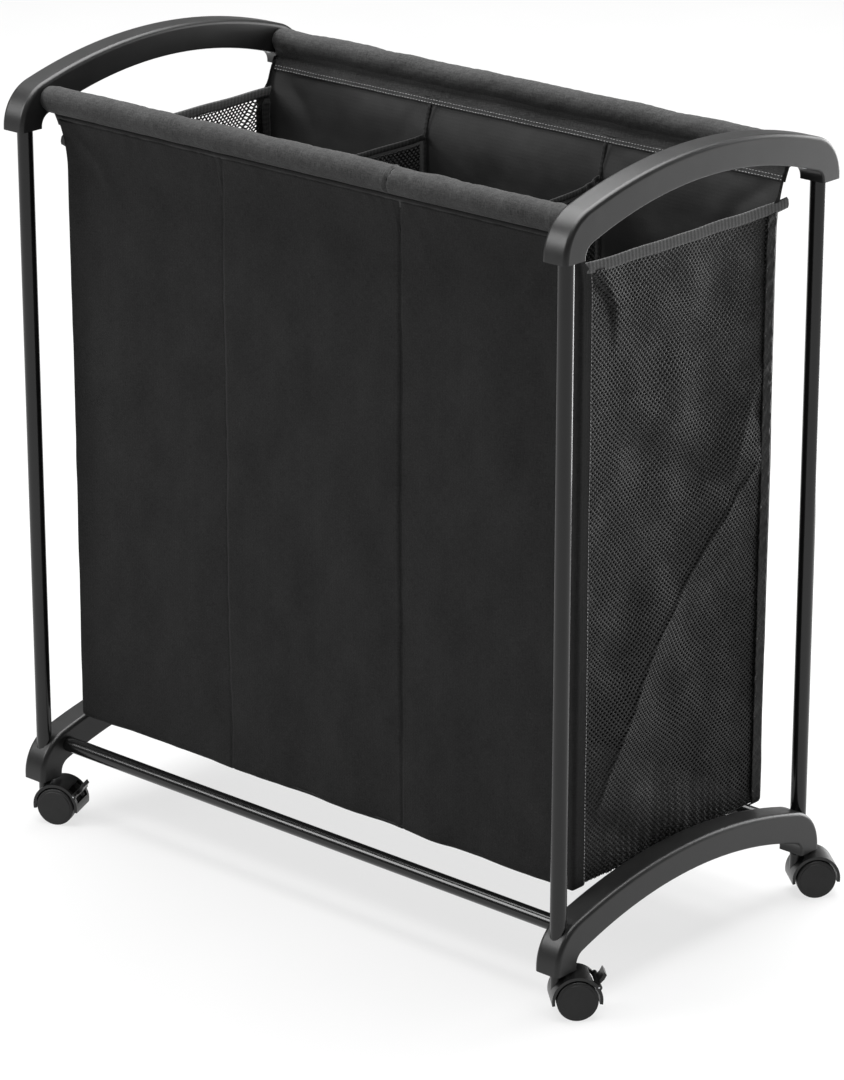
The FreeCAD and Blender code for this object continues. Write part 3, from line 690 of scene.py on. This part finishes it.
def end_relief(y, z):
    """The slack net end: it dips inwards, with the creases and gathers of a folded-up bag."""
    low, high = BAG_LOW, MESH_HIGH.z
    inside = np.clip(1 - (y / (HALF_DEPTH - WRAP)) ** 2, 0, 1)
    share = (z - low) / (high - low)
    body = np.clip(np.sin(np.pi * np.clip(share, 0, 1)), 0, 1) ** 0.6
    height = -NET_DIP * inside * body
    swell = ripples(NET_SWELL_SEED, 0.05, 0.16)(y, z)
    height += 0.0016 * swell * np.sqrt(inside) * (1 - step(share, 0.93, 1.0))
    height += fold(y, z, LONG_FOLD, 0.0062, 0.07, 0.05)
    height += fold(y, z, LONG_FOLD, 0.0016, 0.0045, 0.05)
    height += fold(y, z, SHORT_FOLD, 0.0035, 0.035, 0.15)
    distance, along = off_line(y, z, CURL)
    height += 0.0046 * np.tanh(distance / 0.0024) * bump(distance, 0, 0.020) * (1 - along)
    gathers = np.sin(2 * np.pi * y / GATHER_PITCH + 2.5 * np.sin(9 * y / 0.1))
    height += GATHER_DEPTH * gathers * np.exp(-(z - low) / 0.028) * inside
    sewn = 1 - np.clip(np.abs(y) / (HALF_DEPTH - WRAP + 0.002), 0, 1) ** 10
    return height * sewn


def end_place(side):
    """Where a point of a net end lies, from flat coordinates about its middle."""
    middle = (BAG_LOW + MESH_HIGH.z + NET_UNDER_BAND) / 2
    sway = ripples(NET_SWAY_SEED, 0.06, 0.2)
    drift = ripples(NET_DRIFT_SEED, 0.06, 0.2)

    def place(u, v):
        y, z = u, v + middle
        edge = np.clip(1 - (y / HALF_DEPTH) ** 2, 0, 1)
        relief = end_relief(y if side > 0 else -y, z)
        y_moved = y + NET_SLACK * sway(u, v) * edge
        z_moved = z + NET_SLACK * drift(u, v) * edge
        return side * (HALF_LENGTH - NET_IN + relief), y_moved, z_moved

    return place


def make_net_end(hand, side, material):
    """The net at one end of the bag, between the two walls' wraps and under its band."""
    width = 2 * (HALF_DEPTH - WRAP + NET_UNDER_WRAP)
    height = MESH_HIGH.z - BAG_LOW + NET_UNDER_BAND
    net = net_sheet(f"net_end_{hand}", width, height, END_PITCH, end_place(side), material)
    sew(net, "mesh_fabric", f"bag_mesh_{hand}")


def make_selvage(hand, side, material):
    """The net's dense edge, turned back over the rear corner's wrap."""
    place_wall = wall_place(1, WALL_SEEDS["rear"])
    fray = ripples(FRAY_SEED + side, 0.004, 0.02)

    def place(u, v):
        u = np.abs(u)
        frayed = 0.0005 * fray(u, v) * (u > WRAP - 0.001)
        x, y, z = place_wall(side * (WRAP_START + u + frayed), v)
        return x + side * (0.0009 + 0.0003 * fray(v, u)), y, z

    across = np.linspace(-SELVAGE_INNER, WRAP + SELVAGE_OUTER, 12) * (1 if side < 0 else -1)
    up = np.linspace(BAG_LOW + 0.003, BAND_LOW.z + 0.002, 260)
    strip = woven_sheet(f"net_selvage_{hand}", across, up, place, [material])
    thicken(strip, NET_THICK)
    sew(strip, "mesh_fabric")


def tape(name, line, outward, width, thick, material, ribs=lambda run: 0.0):
    """A soft binding tape folded over an edge: a flat rounded section along a line of points.
    outward gives the flat side's direction at each point, ribs a change of thickness."""
    sides = 14
    section = []
    for k in range(sides):
        cosine, sine = math.cos(2 * math.pi * k / sides), math.sin(2 * math.pi * k / sides)
        wide = math.copysign(abs(cosine) ** 0.45, cosine)
        tall = math.copysign(abs(sine) ** 0.8, sine)
        section.append((wide, tall))
    points, flat = [], []
    run = 0.0
    for number, spot in enumerate(line):
        spot = Vector(spot)
        before = Vector(line[max(number - 1, 0)])
        after = Vector(line[min(number + 1, len(line) - 1)])
        along = (after - before).normalized()
        out = Vector(outward[number])
        out = (out - along * out.dot(along)).normalized()
        over = along.cross(out)
        if number:
            run += (spot - before).length
        swell = 1.0 + ribs(run)
        taper = 0.55 if number in (0, len(line) - 1) else 1.0
        for wide, tall in section:
            across, above = wide * width / 2 * taper, tall * thick / 2 * swell * taper
            points.append(spot + over * across + out * above)
            flat.append((run, wide * width / 2 + (width * 1.2 if tall < 0 else 0)))
    count = len(line)
    faces = []
    for i in range(count - 1):
        for k in range(sides):
            a, b = i * sides + k, i * sides + (k + 1) % sides
            faces.append([a, b, b + sides, a + sides])
    faces.append(list(reversed(range(sides))))
    faces.append([(count - 1) * sides + k for k in range(sides)])
    return add_object(name, points, faces, flat, [material])


def ribbing(pitch, share=0.05):
    """Ribs along a tape, as a share of its thickness."""
    return lambda run: share * math.sin(2 * math.pi * run / pitch)


def make_net_band(hand, side, material):
    """The knitted band along a net end's top edge; its two ends stand out past the walls."""
    middle = (BAND_LOW.z + BAND_HIGH.z) / 2
    wander = ripples(BAND_SEED + side, 0.05, 0.15)
    front_reach, front_lift = (0.955, 0.007) if side < 0 else (0.9, 0.0)
    line, outward = [], []
    for t in np.linspace(-1, 1, 161):
        y = t * BAND_HIGH.y * (1.01 if t > 0 else front_reach)
        tip = step(abs(t), 0.9, 1.0)
        sag = 0.0016 * (1 - t * t)
        x = HALF_LENGTH - 0.0004 + 0.0002 * wander(y, 0.0) - 0.0008 * tip * (t < 0)
        z = middle - sag + 0.0004 * wander(y, 1.0) + tip * (0.0005 if t > 0 else front_lift)
        line.append((side * x, y, z))
        outward.append((side, 0.2 * tip * np.sign(t), 0.12))
    width = BAND_HIGH.z - BAND_LOW.z
    band = tape(f"net_band_{hand}", line, outward, width, NET_BAND_THICK, material, ribbing(0.031))
    sew(band, "binding_fabric", f"mesh_band_{hand}")


# ---------------------------------------------------------------- dividers


def divider_bow(side, y, z):
    """How far a slack divider strays along x: it bows over its length and pleats at the rear."""
    share = np.clip((z - DIVIDER_LOW.z) / (DIVIDER_HIGH.z - DIVIDER_LOW.z), 0, 1)
    span = np.clip(1 - (y / DIVIDER_HIGH.y) ** 2, 0, 1)
    bow = 0.011 * span * (0.3 + 0.7 * share) * (1 if side > 0 else -0.4)
    pleats = np.sin(2 * np.pi * (y / 0.014)) * bump(y, DIVIDER_HIGH.y - 0.014, 0.014) * share**2
    soft = ripples(DIVIDER_SEED + side, 0.06, 0.18)(y, z)
    return bow + (0.0011 if side > 0 else 0.0003) * pleats + 0.002 * soft * span


def divider_dip(side, y):
    """How far a divider's top edge sags: the right one drops quickly from the rear wall."""
    to_rear, to_front = DIVIDER_HIGH.y - y, DIVIDER_HIGH.y + y
    hook = (1 - np.exp(-to_rear / 0.018)) * (1 - np.exp(-to_front / 0.03))
    return (0.008 if side > 0 else 0.0025) * hook


def make_divider(hand, side, net_material, band_material):
    """A net divider between two seams, with the binding along its top edge."""
    middle = (DIVIDER_LOW.z + DIVIDER_HIGH.z) / 2
    half = (DIVIDER_HIGH.z - DIVIDER_LOW.z) / 2

    def place(u, v):
        y, z = u, v + middle
        dip = divider_dip(side, y) * (v + half) / (2 * half)
        return side * SEAM_X + divider_bow(side, y, z), y, z - dip

    width, height = 2 * DIVIDER_HIGH.y, 2 * half + 0.002
    net = net_sheet(f"divider_net_{hand}", width, height, DIVIDER_PITCH, place, net_material)
    sew(net, "mesh_fabric", f"bag_divider_{hand}")
    line, outward = [], []
    for y in np.linspace(DIVIDER_BAND_LOW.y, DIVIDER_BAND_HIGH.y, 151):
        z = DIVIDER_BAND_LOW.z + 0.003 - float(divider_dip(side, y))
        line.append((side * SEAM_X + float(divider_bow(side, y, DIVIDER_HIGH.z)), y, z))
        outward.append((1, 0, 0))
    edge = tape(f"divider_edge_{hand}", line, outward, *DIVIDER_EDGE, band_material, ribbing(0.027))
    sew(edge, "binding_fabric", f"divider_band_{hand}")


# ---------------------------------------------------------------- floor of the bag, pipings, stitches


def make_bag_floor(outer, lining):
    """The woven floor, turned up at its edges and sagging a little in each compartment."""
    across = np.linspace(-(HALF_LENGTH - 0.001), HALF_LENGTH - 0.001, 141)
    deep = np.linspace(-(HALF_DEPTH - 0.001), HALF_DEPTH - 0.001, 61)
    soft = ripples(FLOOR_SEED, 0.04, 0.15)

    def place(u, v):
        from_edge = np.minimum(HALF_LENGTH - np.abs(u), HALF_DEPTH - np.abs(v))
        held = np.clip(from_edge / 0.03, 0, 1)
        cell = np.abs((np.abs(u) + SEAM_X) % (2 * SEAM_X) - SEAM_X) / SEAM_X
        sag = 0.0045 * np.cos(np.pi / 2 * np.clip(cell, 0, 1)) * step(held, 0, 1)
        turned = 0.0035 * (1 - step(from_edge, 0, 0.005))
        return u, v, BAG_LOW + 0.0016 + turned - sag + 0.0009 * soft(u, v) * held

    floor = woven_sheet("bag_floor", across, deep, place, [lining, outer])
    thicken(floor, CLOTH, lining=True)
    sew(floor, "panel_fabric", "bag_bottom")


def make_piping(row, end, hand, side, seed, material):
    """The bound seam inside a wall, from the hem down, where a divider is sewn on."""
    place = wall_place(end, seed)
    line, outward = [], []
    for z in np.linspace(HEM_LOW + 0.001, BAG_LOW + 0.004, 150):
        x, y, height = place(np.array(side * SEAM_X), np.array(z))
        line.append((float(x), float(y) - end * 0.0016, float(height)))
        outward.append((0, -end, 0))
    piping = tape(f"piping_{row}_{hand}", line, outward, *PIPING, material, ribbing(0.022))
    sew(piping, "binding_fabric")


def make_crease_shadow_strip(row, end, material):
    """A near-black strip along the crease under a sleeve, where it is sewn to its wall: a painted shadow
    of the crease.
    """
    y, z = end * (RAIL_Y - CREASE_IN + CLOTH * 1.5), CREASE_Z - 0.0012
    line = [(x, y, z) for x in np.linspace(SLEEVE_LOW.x + 0.003, SLEEVE_HIGH.x - 0.003, 240)]
    outward = [(0, end, 0)] * len(line)
    crease_shadow_strip = tape(f"crease_shadow_strip_{row}", line, outward, *CREASE_SHADOW_SIZE, material)
    sew(crease_shadow_strip, "binding_fabric")


def make_corner_tape(row, end, hand, side, material):
    """The binding inside a corner, over the raw edge of the net."""
    line, outward = [], []
    top = BAND_LOW.z - 0.001
    wander = ripples(CORNER_SEED + 2 * end + side, 0.03, 0.1)
    for z in np.linspace(BAG_LOW + 0.004, top, 140):
        y = HALF_DEPTH - 0.0075 + 0.0004 * wander(z, 0.0) + float(flare(z))
        line.append((side * (HALF_LENGTH - 0.0032), end * y, z))
        outward.append((-side, 0, 0))
    ribs = ribbing(0.017, 0.06)
    binding = tape(f"corner_tape_{row}_{hand}", line, outward, *CORNER_TAPE, material, ribs)
    sew(binding, "binding_fabric")


def make_corner_stitches(row, end, hand, side, seed, material):
    """The row of stitches that sews a wall's wrapped edge to the net."""
    place = wall_place(end, seed)
    spots = []
    for z in np.arange(BAG_LOW + 0.006, BAND_LOW.z - 0.001, CORNER_STITCH_STEP):
        spot = place(np.array(side * (WRAP_START + WRAP - 0.0012)), np.array(z))
        spots.append((float(spot[0]) + side * STITCH_LIFT, float(spot[1]), float(spot[2])))
    name = f"stitches_{row}_{hand}"
    sew(stitches(name, spots, (0, 0.15 * end, 1), (side, 0, 0), material), "binding_fabric")


def make_hem_stitches(row, end, seed, material):
    """Two rows of stitches along a sleeve's hem, inside the bag."""
    place, _ = sleeve_place(end, seed)
    spots = []
    for v in HEM_STITCH_ROWS:
        for x in np.arange(SLEEVE_LOW.x + 0.004, SLEEVE_HIGH.x - 0.003, HEM_STITCH_STEP):
            spot = place(np.array(x), np.array(v))
            spots.append((float(spot[0]), float(spot[1]) - end * STITCH_LIFT, float(spot[2])))
    name = f"hem_stitches_{row}"
    sew(stitches(name, spots, (1, 0, 0), (0, -end, 0), material), "binding_fabric")


# ---------------------------------------------------------------- materials on the CAD nodes


def dress_nodes(looks):
    """Puts each node's material on it: the first name that its own name starts with."""
    for name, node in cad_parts.items():
        material = next(look for start, look in looks if name.startswith(start))
        for place in node.material_slots:
            place.material = material
        if not node.material_slots:
            node.data.materials.append(material)


# ---------------------------------------------------------------- studio


def make_studio():
    """A pale floor and a pale surround."""
    r = Recipe("studio_floor", Specular_IOR_Level=0.0, Roughness=0.9, Emission_Strength=0.72)
    r.shader.inputs["Emission Color"].default_value = (1.0, 1.0, 1.0, 1.0)
    where = r.place()
    r.drive("Base Color", r.colours(r.noise(where, 3.0, 2.0), (0.3, 0.155), (0.7, 0.165)))
    half = 14.0
    corners = [(-half, -half, 0), (half, -half, 0), (half, half, 0), (-half, half, 0)]
    floor = add_object("studio_floor", corners, [(0, 1, 2, 3)], materials=[r.material], smooth=False)
    world = bpy.data.worlds.new("studio")
    bpy.context.scene.world = world
    world.use_nodes = True
    background = world.node_tree.nodes["Background"]
    background.inputs["Color"].default_value = (1.0, 1.0, 1.0, 1)
    background.inputs["Strength"].default_value = 0.18


def add_light(name, spot, target, size, power):
    light = bpy.data.lights.new(name, "AREA")
    light.shape = "RECTANGLE"
    light.size, light.size_y = size
    light.energy = power
    thing = bpy.data.objects.new(name, light)
    thing.location = spot
    thing.rotation_euler = (Vector(target) - Vector(spot)).to_track_quat("-Z", "Y").to_euler()
    bpy.context.scene.collection.objects.link(thing)


def make_camera():
    """A long lens from the front right, above the cart, turned left and tilted down."""
    data = bpy.data.cameras.new("camera")
    data.lens = 144.5
    data.sensor_width = 36.0
    camera = bpy.data.objects.new("camera", data)
    camera.location = (2.728, -3.034, 1.822)
    camera.rotation_euler = (math.radians(90 - 19.93), 0, math.radians(41.84))
    bpy.context.scene.collection.objects.link(camera)
    bpy.context.scene.camera = camera
    bpy.context.scene.view_settings.view_transform = "Standard"


# ---------------------------------------------------------------- the cart

make_camera()
make_studio()
add_light("top_softbox", (-0.6, 0.8, 4.2), (-0.6, 0.8, 0), (4.5, 4.5), 560)
add_light("rear_strip", (0.45, 1.3, 0.65), (0.35, 0, 0.55), (0.8, 1.3), 22)
add_light("front_softbox", (-1.8, -2.3, 2.1), (0, 0, 0.85), (1.4, 1.2), 62)

arch_plastic = moulded_plastic("arch_plastic", 0.006, 0.012, 0.36, 0.00005)
caster_plastic = moulded_plastic("caster_plastic", 0.004, 0.008, 0.30, 0.00003)
plug_nylon = moulded_plastic("plug_nylon", 0.03, 0.05, 0.45, 0.00004)
tube_paint = painted_tube("tube_paint")
steel = bright_steel("zinc_steel")
wheel_nylon = wheel_plastic("wheel_nylon")
wall_cloth = woven_polyester("wall_cloth", 0.0065, 0.0205, 0.015)
# the sleeves' cloth is the walls' cloth painted two to three times lighter: painted light from above on
# the rolls
sleeve_cloth_painted_lighter = woven_polyester("sleeve_cloth_painted_lighter", 0.013, 0.058, 0.03)
lining = coated_lining("coated_lining")
end_thread = knitted_net("end_thread", END_PITCH)
divider_thread = knitted_net("divider_thread", DIVIDER_PITCH)
pale_binding = ribbed_binding("pale_binding", 0.045, 0.18)
dark_binding = ribbed_binding("dark_binding", 0.004, 0.016)
# near-black tape without sheen: a painted shadow in the crease under each sleeve
crease_shadow_tape = ribbed_binding("crease_shadow_tape", 0.0006, 0.0025, fuzzy=0.0)
thread = sewing_thread("sewing_thread")

dress_nodes([
    ("handle_screws", steel), ("foot_screws", steel), ("handle_", arch_plastic), ("foot_", arch_plastic),
    ("upright_", tube_paint), ("top_rail", tube_paint), ("bottom_rail", tube_paint),
    ("caster_hood", caster_plastic), ("brake_lever", caster_plastic), ("caster_plug", plug_nylon),
    ("caster_stem", steel), ("caster_axle", steel), ("lever_pin", steel), ("stem_grip_rings", steel),
    ("wheel_", wheel_nylon), ("bag_", wall_cloth), ("mesh_", wall_cloth), ("divider_", wall_cloth),
])

for row, end in (("front", -1), ("rear", 1)):
    make_wall(row, end, WALL_SEEDS[row], wall_cloth, lining)
    make_sleeve(row, end, SLEEVE_SEEDS[row], sleeve_cloth_painted_lighter, lining)
    make_hem_stitches(row, end, SLEEVE_SEEDS[row], thread)
    make_crease_shadow_strip(row, end, crease_shadow_tape)
    for hand, side in (("left", -1), ("right", 1)):
        make_piping(row, end, hand, side, WALL_SEEDS[row], dark_binding)
        make_corner_tape(row, end, hand, side, dark_binding)
        make_corner_stitches(row, end, hand, side, WALL_SEEDS[row], thread)
for hand, side in (("left", -1), ("right", 1)):
    make_net_end(hand, side, end_thread)
    make_selvage(hand, side, end_thread)
    make_net_band(hand, side, pale_binding)
    make_divider(hand, side, divider_thread, dark_binding)
make_bag_floor(wall_cloth, lining)
